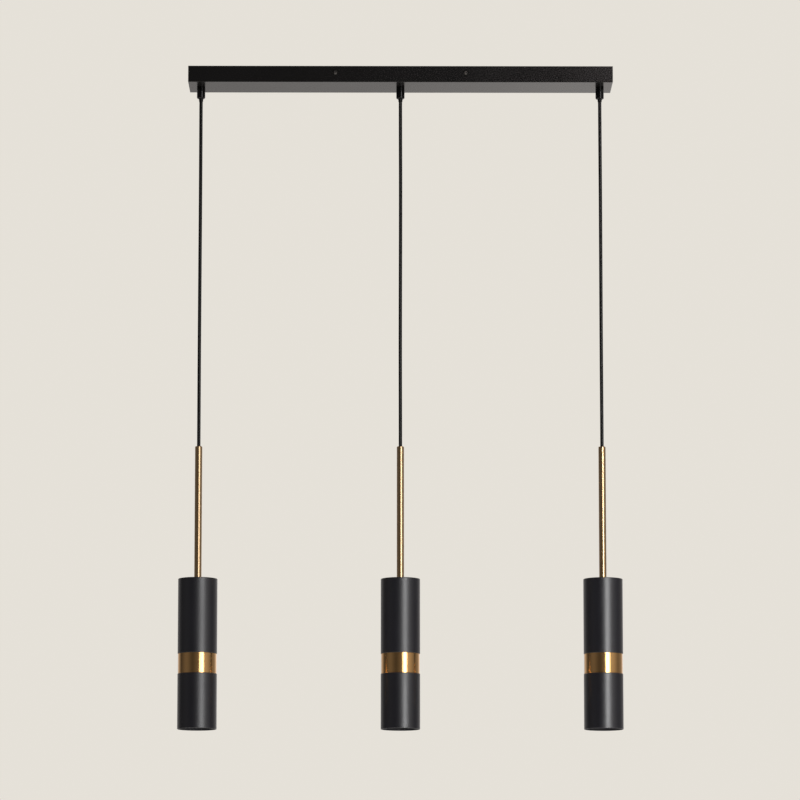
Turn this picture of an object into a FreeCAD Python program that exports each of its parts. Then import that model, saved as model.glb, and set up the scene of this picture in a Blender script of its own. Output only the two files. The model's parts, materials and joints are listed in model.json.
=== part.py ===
import FreeCAD, Part
import math
import os
import Sketcher

# Linear island pendant with three lights. Millimetres, +Z up.
# The origin is on the ceiling plane, in the middle of the canopy.
# X runs along the canopy, and -Y is the side of the room that looks at its long front wall.

V = FreeCAD.Vector
doc = FreeCAD.newDocument("IslandPendant")

# ---------------------------------------------------------------------------
# Driving dimensions
# ---------------------------------------------------------------------------
DIMENSIONS = [
    # canopy: folded sheet steel
    ("canopy_len", 700.0), ("canopy_wid", 80.0), ("canopy_hgt", 27.0),
    ("canopy_wall", 1.2), ("canopy_round", 0.8),
    ("pendant_pitch", 330.0), ("grip_hole_rad", 5.1),
    ("side_hole_pos", 107.5), ("side_hole_drop", 11.0), ("side_hole_rad", 2.15),
    # ceiling bracket
    ("bracket_len", 260.0), ("bracket_wid", 30.0), ("bracket_thk", 2.0),
    ("arm_len", 22.0), ("arm_span", 76.8), ("tab_drop", 17.0),
    ("slot_pos", 80.0), ("slot_len", 24.0), ("slot_rad", 2.6),
    ("entry_pos", 40.0), ("entry_rad", 10.0), ("earth_pos", 15.0), ("earth_hole_rad", 2.1),
    # cover screws
    ("cover_head_rad", 3.7), ("cover_head_hgt", 2.1), ("cover_shank_rad", 2.0), ("cover_shank_len", 8.0),
    ("cover_socket_rad", 1.45),
    # cord grip
    ("grip_rad", 6.9), ("grip_drop", 19.8), ("grip_edge", 2.4), ("grip_bore_rad", 3.4),
    ("grip_thread_rad", 4.95), ("grip_thread_len", 7.5), ("grip_socket_rad", 4.0), ("grip_screw_drop", 7.0),
    # soft boot in the grip
    ("boot_ball_rad", 3.9), ("boot_nose_rad", 3.45), ("boot_nose_len", 4.5), ("boot_lip_rad", 3.15),
    ("boot_pocket_rad", 2.95), ("boot_pocket_pos", 2.3), ("boot_core_rad", 2.0),
    # cord and its crimp stop
    ("cord_rad", 2.85), ("cord_len", 603.0),
    ("stop_rad", 4.3), ("stop_len", 8.0),
    # rod
    ("rod_rad", 6.0), ("rod_bore_rad", 5.0), ("rod_len", 218.0), ("rod_edge", 0.9),
    ("spigot_rad", 4.95), ("spigot_len", 11.0), ("spigot_bore_rad", 3.5),
    ("bushing_rad", 4.95), ("bushing_len", 11.4), ("bushing_bore_rad", 2.95),
    ("nut_flats", 14.0), ("nut_thk", 3.0),
    # shade
    ("shade_rad", 32.0), ("shade_wall", 1.5), ("shade_top_thk", 2.0), ("shade_edge", 0.8), ("shade_rim", 0.6),
    ("upper_len", 122.2), ("lower_len", 89.8), ("shade_gap", 0.4),
    ("band_rad", 31.5), ("band_len", 32.2), ("band_spigot_rad", 30.45), ("band_spigot_len", 8.0),
    ("band_bore_rad", 28.9), ("band_ledge_rad", 24.0), ("band_ledge_pos", 22.8), ("band_ledge_thk", 2.0),
    # lampholder and its plate
    ("plate_rad", 28.7), ("plate_thk", 1.5),
    ("holder_rad", 13.5), ("holder_len", 24.0), ("holder_face_thk", 3.0),
    ("holder_cavity_len", 4.0), ("pin_circle_rad", 5.0),
    ("holder_screw_pos", 9.0), ("holder_lead_pos", 6.0),
    # lamp
    ("lamp_rad", 25.0), ("lamp_len", 48.0), ("lamp_base_rad", 13.0),
    ("pin_neck_rad", 1.5), ("pin_head_rad", 2.5), ("pin_neck_len", 3.4), ("pin_head_len", 3.2),
    ("lens_rad", 22.5), ("lens_thk", 2.5), ("lens_dome_rad", 18.0), ("lens_dome_hgt", 1.1), ("lens_groove", 0.5),
    # terminal block
    ("block_len", 34.0), ("block_wid", 20.0), ("block_hgt", 14.0), ("block_pos", 30.0),
    ("pole_pitch", 10.0), ("pole_rad", 2.4),
    # insulated cores
    ("core_rad", 0.9),
]

sheet = doc.addObject("Spreadsheet::Sheet", "Sizes")
for row, (word, number) in enumerate(DIMENSIONS, start=1):
    sheet.set("A%d" % row, word)
    sheet.set("B%d" % row, repr(float(number)))
    sheet.setAlias("B%d" % row, word)
doc.recompute()


class Size:
    """A length that carries its number and the expression that gives it from the sheet."""

    def __init__(self, number, text):
        self.number = float(number)
        self.text = text

    @staticmethod
    def of(other):
        if isinstance(other, Size):
            return other
        return Size(other, "(%r)" % float(other))

    def join(self, other, sign, number):
        other = Size.of(other)
        return Size(number, "(%s %s %s)" % (self.text, sign, other.text))

    def __add__(self, other):
        return self.join(other, "+", self.number + Size.of(other).number)

    def __radd__(self, other):
        return Size.of(other) + self

    def __sub__(self, other):
        return self.join(other, "-", self.number - Size.of(other).number)

    def __rsub__(self, other):
        return Size.of(other) - self

    def __mul__(self, other):
        return self.join(other, "*", self.number * Size.of(other).number)

    def __rmul__(self, other):
        return Size.of(other) * self

    def __truediv__(self, other):
        return self.join(other, "/", self.number / Size.of(other).number)

    def __neg__(self):
        return Size(-self.number, "(0 - %s)" % self.text)


def root_of(size):
    return Size(math.sqrt(size.number), "sqrt(%s)" % size.text)


class Sheet:
    """S.name is the cell with that alias."""

    def __getattr__(self, word):
        return Size(float(getattr(sheet, word)), "Sizes.%s" % word)


S = Sheet()

# ---------------------------------------------------------------------------
# Helpers
# ---------------------------------------------------------------------------
NODES = {}


def keep(node, obj):
    obj.Label = node
    NODES[node] = obj
    return obj


def place(obj, x=None, y=None, z=None):
    for axis, value in (("x", x), ("y", y), ("z", z)):
        if value is None:
            continue
        value = Size.of(value)
        obj.setExpression("Placement.Base.%s" % axis, value.text)
    return obj


def plane(body, role):
    for feature in body.Origin.OriginFeatures:
        if feature.Role == role:
            return feature
    raise RuntimeError("no plane " + role)


def new_sketch(body, role, name):
    sketch = body.newObject("Sketcher::SketchObject", name)
    sketch.AttachmentSupport = [(plane(body, role), "")]
    sketch.MapMode = "FlatFace"
    return sketch


def bind(sketch, kind, refs, size):
    size = Size.of(size)
    index = sketch.addConstraint(Sketcher.Constraint(kind, *refs, size.number))
    sketch.setExpression("Constraints[%d]" % index, size.text)
    return index


def fix_point(sketch, geo, end, x, y):
    """Fixes one end of a sketch line or arc at (x, y) from the sketch's origin."""
    for kind, value, other in (("DistanceX", x, "V"), ("DistanceY", y, "H")):
        value = Size.of(value)
        if abs(value.number) < 1e-9:
            axis = -2 if kind == "DistanceX" else -1
            sketch.addConstraint(Sketcher.Constraint("PointOnObject", geo, end, axis))
        else:
            bind(sketch, kind, (-1, 1, geo, end), value)


def outline(sketch, points):
    """A closed outline. Each point is (x, y), or (x, y, radius, side) where the edge that
    ends at this point is an arc of that radius, bulging to the side (+1 left of travel, -1 right)."""
    count = len(points)
    first = sketch.GeometryCount
    for i in range(count):
        start = points[i - 1]
        end = points[i]
        a = V(Size.of(start[0]).number, Size.of(start[1]).number, 0)
        b = V(Size.of(end[0]).number, Size.of(end[1]).number, 0)
        if len(end) == 2:
            sketch.addGeometry(Part.LineSegment(a, b), False)
        else:
            radius = Size.of(end[2]).number
            chord = b - a
            half = chord.Length / 2.0
            rise = radius - math.sqrt(max(radius * radius - half * half, 0.0))
            left = V(-chord.y, chord.x, 0).normalize()
            middle = (a + b) * 0.5 + left * (rise * end[3])
            sketch.addGeometry(Part.Arc(a, middle, b), False)
    ends = []
    for i in range(count):
        geo = first + i
        a = points[i - 1]
        a = V(Size.of(a[0]).number, Size.of(a[1]).number, 0)
        start_is_first = (sketch.getPoint(geo, 1) - a).Length < 1e-6
        ends.append((1, 2) if start_is_first else (2, 1))
    for i in range(count):
        geo = first + i
        nxt = first + (i + 1) % count
        sketch.addConstraint(
            Sketcher.Constraint("Coincident", geo, ends[i][1], nxt, ends[(i + 1) % count][0])
        )
    for i in range(count):
        geo = first + i
        fix_point(sketch, geo, ends[i][1], points[i][0], points[i][1])
    for i in range(count):
        if len(points[i]) > 2:
            x0, y0 = Size.of(points[i - 1][0]), Size.of(points[i - 1][1])
            x1, y1 = Size.of(points[i][0]), Size.of(points[i][1])
            half = math.hypot(x1.number - x0.number, y1.number - y0.number) / 2.0
            if abs(half - Size.of(points[i][2]).number) > 1e-6:
                bind(sketch, "Radius", (first + i,), points[i][2])
            elif abs(x1.number - x0.number) < 1e-6:
                bind(sketch, "DistanceX", (-1, 1, first + i, 3), x1)
            else:
                bind(sketch, "DistanceY", (-1, 1, first + i, 3), y1)


def turned(node, points, name=None):
    """A piece that is turned about its own Z axis from an outline of (radius, height)."""
    tag = name or node
    body = doc.addObject("PartDesign::Body", "Body_" + tag)
    sketch = new_sketch(body, "XZ_Plane", "Outline_" + tag)
    outline(sketch, points)
    turn = body.newObject("PartDesign::Revolution", "Turn_" + tag)
    turn.Profile = sketch
    turn.ReferenceAxis = (sketch, ["V_Axis"])
    turn.Angle = 360.0
    sketch.Visibility = False
    body.Tip = turn
    return body


def rectangle(sketch, cx, cy, length, width):
    """A rectangle given by its centre and sizes."""
    cx, cy, length, width = (Size.of(v) for v in (cx, cy, length, width))
    x0, x1 = cx - length / 2, cx + length / 2
    y0, y1 = cy - width / 2, cy + width / 2
    outline(sketch, [(x0, y0), (x1, y0), (x1, y1), (x0, y1)])


def circle(sketch, cx, cy, radius):
    radius = Size.of(radius)
    geo = sketch.addGeometry(
        Part.Circle(V(Size.of(cx).number, Size.of(cy).number, 0), V(0, 0, 1), radius.number), False
    )
    bind(sketch, "Radius", (geo,), radius)
    fix_point(sketch, geo, 3, cx, cy)


def pad(body, name, sketch, length, reverse=False):
    feature = body.newObject("PartDesign::Pad", name)
    feature.Profile = sketch
    feature.setExpression("Length", Size.of(length).text)
    feature.Reversed = reverse
    sketch.Visibility = False
    body.Tip = feature
    return feature


def pocket(body, name, sketch, length=None, reverse=False, middle=False):
    feature = body.newObject("PartDesign::Pocket", name)
    feature.Profile = sketch
    if length is None:
        feature.Type = 1
    else:
        feature.setExpression("Length", Size.of(length).text)
    feature.Reversed = reverse
    feature.Midplane = middle
    sketch.Visibility = False
    body.Tip = feature
    return feature


def check_volume(feature, before, low, high):
    """Stops when a feature took off less or more than it should."""
    doc.recompute()
    taken = before - feature.Shape.Volume
    if not low <= taken <= high:
        raise RuntimeError("%s took off %.1f, expected %.1f to %.1f" % (feature.Name, taken, low, high))
    return feature.Shape.Volume


def edges_where(shape, test):
    return ["Edge%d" % (i + 1) for i, edge in enumerate(shape.Edges) if test(edge)]


def round_edges(body, name, base, test, radius):
    doc.recompute()
    feature = body.newObject("PartDesign::Fillet", name)
    names = edges_where(base.Shape, test)
    if not names:
        raise RuntimeError(name + " found no edge")
    feature.Base = (base, names)
    feature.setExpression("Radius", Size.of(radius).text)
    body.Tip = feature
    return feature


def cylinder(name, radius, height, x=0.0, y=0.0, z=0.0, axis=None):
    obj = doc.addObject("Part::Cylinder", name)
    obj.setExpression("Radius", Size.of(radius).text)
    obj.setExpression("Height", Size.of(height).text)
    if axis is not None:
        obj.Placement = FreeCAD.Placement(V(0, 0, 0), FreeCAD.Rotation(V(0, 0, 1), axis))
    place(obj, x, y, z)
    obj.Visibility = False
    return obj


def box(name, length, width, height, x, y, z):
    obj = doc.addObject("Part::Box", name)
    obj.setExpression("Length", Size.of(length).text)
    obj.setExpression("Width", Size.of(width).text)
    obj.setExpression("Height", Size.of(height).text)
    place(obj, x, y, z)
    obj.Visibility = False
    return obj


def cut(name, base, tools):
    result = base
    for i, tool in enumerate(tools):
        step = doc.addObject("Part::Cut", "%s_%d" % (name, i + 1))
        step.Base = result
        step.Tool = tool
        result.Visibility = False
        tool.Visibility = False
        result = step
    return result


def fuse(name, pieces):
    obj = doc.addObject("Part::MultiFuse", name)
    obj.Shapes = pieces
    for piece in pieces:
        piece.Visibility = False
    return obj


def group(node, pieces):
    """Separate solids that share one node."""
    obj = doc.addObject("Part::Compound", "Group_" + node)
    obj.Links = pieces
    for piece in pieces:
        piece.Visibility = False
    return keep(node, obj)


def mirrored(name, source, normal):
    obj = doc.addObject("Part::Mirroring", name)
    obj.Source = source
    obj.Normal = normal
    obj.Base = V(0, 0, 0)
    return obj


def hex_nut(name, flats, bore, thickness, x=0.0, y=0.0, z=0.0):
    """A hexagon nut with both faces chamfered, standing on z."""
    flats, thickness = Size.of(flats), Size.of(thickness)
    corner = flats / 1.7320508
    prism = doc.addObject("Part::Prism", name + "_prism")
    prism.Polygon = 6
    prism.setExpression("Circumradius", corner.text)
    prism.setExpression("Height", thickness.text)
    place(prism, x, y, z)
    edge = corner - flats / 2
    disc = turned(
        None,
        [
            (0, 0), (flats / 2, 0), (corner, edge * 0.6), (corner, thickness - edge * 0.6),
            (flats / 2, thickness), (0, thickness),
        ],
        name + "_disc",
    )
    place(disc, x, y, z)
    common = doc.addObject("Part::MultiCommon", name + "_common")
    common.Shapes = [prism, disc]
    prism.Visibility = disc.Visibility = False
    hole = cylinder(name + "_hole", bore, thickness + 2, x, y, Size.of(z) - 1)
    return cut(name + "_nut", common, [hole])


ARC_RADII = {}


def route_wire(points):
    """Straight runs joined by tangent arcs. Each arc's radius is 0.45 of the shorter run
    beside it, divided by the tangent of half the turn."""
    points = [V(*p) for p in points]
    edges, radii = [], []
    at = points[0]
    for i in range(1, len(points) - 1):
        before = points[i] - points[i - 1]
        after = points[i + 1] - points[i]
        turn = before.getAngle(after)
        if turn < 1e-6:
            continue
        reach = 0.45 * min(before.Length, after.Length)
        radius = reach / math.tan(turn / 2)
        b, a = V(before).normalize(), V(after).normalize()
        start = points[i] - b * reach
        end = points[i] + a * reach
        inward = (a - b).normalize()
        centre = points[i] + inward * (radius / math.cos(turn / 2))
        middle = centre - inward * radius
        edges.append(Part.LineSegment(at, start).toShape())
        edges.append(Part.Arc(start, middle, end).toShape())
        radii.append(round(radius, 1))
        at = end
    edges.append(Part.LineSegment(at, points[-1]).toShape())
    return Part.Wire(edges), radii


def tube_along(name, points, radius):
    """A round tube along a route, checked against its section times its length."""
    wire, radii = route_wire(points)
    start = V(*points[0])
    along = V(*points[1]) - start
    ring = Part.Wire([Part.Circle(start, along, radius).toShape()])
    solid = wire.makePipeShell([ring], True, False)
    expected = math.pi * radius * radius * wire.Length
    if abs(solid.Volume - expected) > 0.01 * expected or not solid.isValid():
        raise RuntimeError("%s: volume %.1f, expected %.1f" % (name, solid.Volume, expected))
    ARC_RADII[name] = radii
    return solid


# ---------------------------------------------------------------------------
# Heights down the object, from the ceiling plane
# ---------------------------------------------------------------------------
PITCH = S.pendant_pitch
GRIP_BOTTOM = -(S.canopy_hgt + S.grip_drop)              # underside of the grip's barrel
BOOT_BOTTOM = GRIP_BOTTOM - S.boot_nose_len              # mouth of the nose
CORD_PIVOT = BOOT_BOTTOM + S.boot_pocket_pos             # the cord's hinge point in the boot
CORD_BOTTOM = CORD_PIVOT - S.cord_len
STOP_BOTTOM = CORD_BOTTOM + 4.0
STOP_TOP = STOP_BOTTOM + S.stop_len
BUSHING_BOTTOM = STOP_TOP + 0.1
ROD_TOP = BUSHING_BOTTOM + S.bushing_len + 0.5
ROD_FOOT = ROD_TOP - S.rod_len                           # shoulder that stands on the shade
SPIGOT_BOTTOM = ROD_FOOT - S.spigot_len
UPPER_BOTTOM = ROD_FOOT - S.upper_len
BAND_TOP = UPPER_BOTTOM - S.shade_gap
BAND_BOTTOM = BAND_TOP - S.band_len
LOWER_TOP = BAND_BOTTOM - S.shade_gap
LOWER_BOTTOM = LOWER_TOP - S.lower_len
BAND_LOW = BAND_BOTTOM - S.band_spigot_len
LEDGE_TOP = BAND_LOW + S.band_ledge_pos + S.band_ledge_thk
HOLDER_TOP = LEDGE_TOP
HOLDER_BOTTOM = HOLDER_TOP - S.holder_len
LAMP_TOP = HOLDER_BOTTOM - 0.2
LAMP_BOTTOM = LAMP_TOP - S.lamp_len

# ---------------------------------------------------------------------------
# Canopy cover: a folded box, open towards the ceiling
# ---------------------------------------------------------------------------
body = doc.addObject("PartDesign::Body", "Body_canopy_cover")
sk = new_sketch(body, "XY_Plane", "Cover_plan")
rectangle(sk, 0, 0, S.canopy_len, S.canopy_wid)
block = pad(body, "Cover_block", sk, S.canopy_hgt, reverse=True)
half_x, half_y, low = S.canopy_len.number / 2, S.canopy_wid.number / 2, -S.canopy_hgt.number


def outer_fold(edge):
    box_ = edge.BoundBox
    at_bottom = box_.ZMax < low + 1e-4
    upright = box_.ZLength > 1.0
    return at_bottom or upright


folds = round_edges(body, "Cover_folds", block, outer_fold, S.canopy_round)
doc.recompute()
volume = folds.Shape.Volume
sk = new_sketch(body, "XY_Plane", "Cover_hollow_plan")
rectangle(sk, 0, 0, S.canopy_len - 2 * S.canopy_wall, S.canopy_wid - 2 * S.canopy_wall)
hollow = pocket(body, "Cover_hollow", sk, S.canopy_hgt - S.canopy_wall)
room = (
    (S.canopy_len - 2 * S.canopy_wall).number
    * (S.canopy_wid - 2 * S.canopy_wall).number
    * (S.canopy_hgt - S.canopy_wall).number
)
volume = check_volume(hollow, volume, 0.99 * room, 1.01 * room)
sk = new_sketch(body, "XY_Plane", "Cover_grip_holes_plan")
circle(sk, -PITCH, 0, S.grip_hole_rad)
circle(sk, 0, 0, S.grip_hole_rad)
circle(sk, PITCH, 0, S.grip_hole_rad)
holes = pocket(body, "Cover_grip_holes", sk)
volume = check_volume(holes, volume, 280, 300)
sk = new_sketch(body, "XZ_Plane", "Cover_side_holes_plan")
circle(sk, -S.side_hole_pos, -S.side_hole_drop, S.side_hole_rad)
circle(sk, S.side_hole_pos, -S.side_hole_drop, S.side_hole_rad)
side_holes = pocket(body, "Cover_side_holes", sk, middle=True)
volume = check_volume(side_holes, volume, 60, 80)
keep("canopy_cover", body)

# ---------------------------------------------------------------------------
# Ceiling bracket: flat strap, two cross arms with tabs folded down
# ---------------------------------------------------------------------------
body = doc.addObject("PartDesign::Body", "Body_ceiling_bracket")
sk = new_sketch(body, "XY_Plane", "Bracket_strap_plan")
rectangle(sk, 0, 0, S.bracket_len, S.bracket_wid)
pad(body, "Bracket_strap", sk, S.bracket_thk, reverse=True)
sk = new_sketch(body, "XY_Plane", "Bracket_arms_plan")
rectangle(sk, -S.side_hole_pos, 0, S.arm_len, S.arm_span)
rectangle(sk, S.side_hole_pos, 0, S.arm_len, S.arm_span)
pad(body, "Bracket_arms", sk, S.bracket_thk, reverse=True)
sk = new_sketch(body, "XY_Plane", "Bracket_tabs_plan")
for sx in (-1, 1):
    for sy in (-1, 1):
        rectangle(
            sk, sx * S.side_hole_pos, sy * (S.arm_span - S.bracket_thk) / 2, S.arm_len, S.bracket_thk
        )
tabs = pad(body, "Bracket_tabs", sk, S.tab_drop, reverse=True)
reach = S.arm_span.number / 2


def tab_fold(edge):
    box_ = edge.BoundBox
    return (
        abs(abs(box_.YMin) - reach) < 1e-4
        and box_.YLength < 1e-4
        and box_.ZMax > -1e-4
        and box_.ZLength < 1e-4
        and box_.XLength > 10
    )


fold = round_edges(body, "Bracket_folds", tabs, tab_fold, S.bracket_thk * 0.75)
doc.recompute()
volume = fold.Shape.Volume
sk = new_sketch(body, "XY_Plane", "Bracket_slots_plan")
for sx in (-1, 1):
    run = (S.slot_len - 2 * S.slot_rad) / 2
    left, right = sx * S.slot_pos - run, sx * S.slot_pos + run
    outline(
        sk,
        [
            (left, -S.slot_rad, S.slot_rad, -1), (right, -S.slot_rad),
            (right, S.slot_rad, S.slot_rad, -1), (left, S.slot_rad),
        ],
    )
slots = pocket(body, "Bracket_slots", sk)
volume = check_volume(slots, volume, 2 * 2 * 110, 2 * 2 * 125)
sk = new_sketch(body, "XY_Plane", "Bracket_holes_plan")
circle(sk, -S.entry_pos, 0, S.entry_rad)
circle(sk, S.earth_pos, 0, S.earth_hole_rad)
holes = pocket(body, "Bracket_holes", sk)
volume = check_volume(holes, volume, 600, 680)
sk = new_sketch(body, "XZ_Plane", "Bracket_side_holes_plan")
circle(sk, -S.side_hole_pos, -S.side_hole_drop, S.cover_shank_rad + 0.05)
circle(sk, S.side_hole_pos, -S.side_hole_drop, S.cover_shank_rad + 0.05)
side_holes = pocket(body, "Bracket_side_holes", sk, middle=True)
volume = check_volume(side_holes, volume, 95, 115)
keep("ceiling_bracket", body)

# ---------------------------------------------------------------------------
# Cover screws: domed heads with a hexagon socket, two in front and two behind
# ---------------------------------------------------------------------------
head_r, head_h = S.cover_head_rad, S.cover_head_hgt
dome = turned(
    None,
    [
        (0, -S.cover_shank_len), (S.cover_shank_rad - 0.4, -S.cover_shank_len),
        (S.cover_shank_rad, -S.cover_shank_len + 0.4), (S.cover_shank_rad, 0), (head_r, 0),
        (head_r, 0.3), (head_r * 0.55, head_h, head_r, -1), (0, head_h),
    ],
    "cover_screw_dome",
)
socket = doc.addObject("Part::Prism", "cover_screw_socket")
socket.Polygon = 6
socket.setExpression("Circumradius", S.cover_socket_rad.text)
socket.setExpression("Height", (head_h).text)
place(socket, 0, 0, head_h * 0.45)
raw = cut("cover_screw_raw", dome, [socket])
doc.recompute()
stand = -(S.canopy_wid / 2) - 0.02
laid = doc.addObject("Part::Feature", "cover_screw_laid")
laid.Shape = raw.Shape.copy()
laid.Placement = FreeCAD.Placement(
    V(S.side_hole_pos.number, stand.number, -S.side_hole_drop.number), FreeCAD.Rotation(V(1, 0, 0), 90)
)
laid.setExpression("Placement.Base.x", S.side_hole_pos.text)
laid.setExpression("Placement.Base.y", stand.text)
laid.setExpression("Placement.Base.z", (-S.side_hole_drop).text)
front_left = mirrored("cover_screw_front_left", laid, V(1, 0, 0))
back_right = mirrored("cover_screw_back_right", laid, V(0, 1, 0))
back_left = mirrored("cover_screw_back_left", back_right, V(1, 0, 0))
group("cover_screws", [laid, front_left, back_right, back_left])

# ---------------------------------------------------------------------------
# Terminal block under the bracket, with three poles
# ---------------------------------------------------------------------------
block_low = -(S.bracket_thk + 2 + S.block_hgt)
shell = box("block_shell", S.block_len, S.block_wid, S.block_hgt, S.block_pos, -(S.block_wid / 2), block_low)
foot = box("block_foot", S.block_len - 14, S.block_wid - 8, 2.0, S.block_pos + 7, -(S.block_wid / 2) + 4,
           -S.bracket_thk - 2)
whole = fuse("block_whole", [shell, foot])
tools = []
for i in range(3):
    px = S.block_pos + 7 + i * S.pole_pitch
    tools.append(
        cylinder("block_pole_%d" % i, S.pole_rad, S.block_wid + 2, px, -(S.block_wid / 2) - 1,
                 block_low + 5, axis=V(0, 1, 0))
    )
    for j, sy in enumerate((-1, 1)):
        tools.append(cylinder("block_well_%d_%d" % (i, j), 1.9, 5.0, px, sy * 5.0, block_low - 1))
for i in range(2):
    gx = S.block_pos + 11.25 + i * S.pole_pitch
    tools.append(box("block_groove_%d" % i, 1.5, S.block_wid + 2, 3.0, gx, -(S.block_wid / 2) - 1, block_low - 1))
keep("terminal_block", cut("block", whole, tools))

clamps = []
for i in range(3):
    px = S.block_pos + 7 + i * S.pole_pitch
    for j, sy in enumerate((-1, 1)):
        shank = cylinder("clamp_%d_%d" % (i, j), 1.6, 2.2, px, sy * 5.0, block_low + 0.5)
        slit = box("clamp_slit_%d_%d" % (i, j), 4.0, 0.6, 1.0, px - 2, sy * 5.0 - 0.3, block_low - 0.1)
        clamps.append(cut("clamp_cut_%d_%d" % (i, j), shank, [slit]))
group("terminal_screws", clamps)

# ---------------------------------------------------------------------------
# Earth stud, washer and nut on the bracket
# ---------------------------------------------------------------------------
stud = turned(
    None,
    [
        (0, -12.0), (1.6, -12.0), (2.0, -11.6), (2.0, -S.bracket_thk), (2.0, -0.2), (0, -0.2),
    ],
    "earth_stud",
)
place(stud, S.earth_pos, 0, 0)
washer = turned(None, [(2.1, 0), (4.4, 0), (4.4, 0.8), (2.1, 0.8)], "earth_washer")
place(washer, S.earth_pos, 0, -S.bracket_thk - 1.7)
nut = hex_nut("earth_nut", 7.0, 2.05, 3.2, S.earth_pos, 0, -S.bracket_thk - 4.95)
group("earth_terminal", [stud, washer, nut])

# ---------------------------------------------------------------------------
# Cord grips: threaded neck through the canopy floor, barrel below it
# ---------------------------------------------------------------------------
SIDES = (("left", -PITCH), ("middle", Size(0, "(0)")), ("right", PITCH))
grip_total = S.grip_drop + S.grip_thread_len


def thread_outline():
    """The neck's thread, drawn as rings one millimetre apart, from the floor up."""
    points = []
    base = S.grip_drop + 1.5
    for i in range(5):
        points += [
            (S.grip_thread_rad, base + i),
            (S.grip_thread_rad - 0.45, base + i + 0.5),
        ]
    points.append((S.grip_thread_rad, base + 5))
    return points


for side, x in SIDES:
    meet = root_of(S.grip_socket_rad * S.grip_socket_rad - S.grip_bore_rad * S.grip_bore_rad)
    grip = turned(
        None,
        [
            (S.grip_rad - S.grip_edge, 0),
            (S.grip_rad, S.grip_edge, S.grip_edge, -1),
            (S.grip_rad, S.grip_drop - 0.3),
            (S.grip_rad - 0.3, S.grip_drop),
            (S.grip_thread_rad, S.grip_drop),
        ]
        + thread_outline()
        + [
            (S.grip_thread_rad - 0.4, grip_total),
            (S.grip_bore_rad, grip_total),
            (S.grip_bore_rad, meet),
            (S.grip_socket_rad, 0, S.grip_socket_rad, +1),
        ],
        "grip_" + side,
    )
    place(grip, x, 0, GRIP_BOTTOM)
    well = cylinder(
        "grip_well_" + side, 2.05, 12.0, x, 0, GRIP_BOTTOM + S.grip_drop - S.grip_screw_drop, axis=V(0, 1, 0)
    )
    keep("cord_grip_" + side, cut("grip_cut_" + side, grip, [well]))

nuts = [
    hex_nut("grip_nut_" + side, S.nut_flats, S.grip_thread_rad + 0.1, S.nut_thk, x, 0,
            -S.canopy_hgt + S.canopy_wall)
    for side, x in SIDES
]
group("grip_nuts", nuts)

# Clamp screws in the barrels, on the side away from the front
grubs = []
for side, x in SIDES:
    shank = cylinder("grub_" + side, 2.0, 3.6, x, S.grip_bore_rad - 0.3,
                     GRIP_BOTTOM + S.grip_drop - S.grip_screw_drop, axis=V(0, 1, 0))
    slit = box("grub_slit_" + side, 0.7, 1.2, 5.0, x - 0.35, S.grip_bore_rad + 2.4,
               GRIP_BOTTOM + S.grip_drop - S.grip_screw_drop - 2.5)
    grubs.append(cut("grub_cut_" + side, shank, [slit]))
group("grip_screws", grubs)

# ---------------------------------------------------------------------------
# The cords' sheathed ends inside the grips and the canopy
# ---------------------------------------------------------------------------
TAIL_TOP = GRIP_BOTTOM + grip_total + 2.0
tails = []
for side, x in SIDES:
    start = GRIP_BOTTOM + S.boot_ball_rad + 0.4
    tails.append(cylinder("tail_" + side, S.cord_rad, TAIL_TOP - start, x, 0, start))
group("cord_tails", tails)

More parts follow.
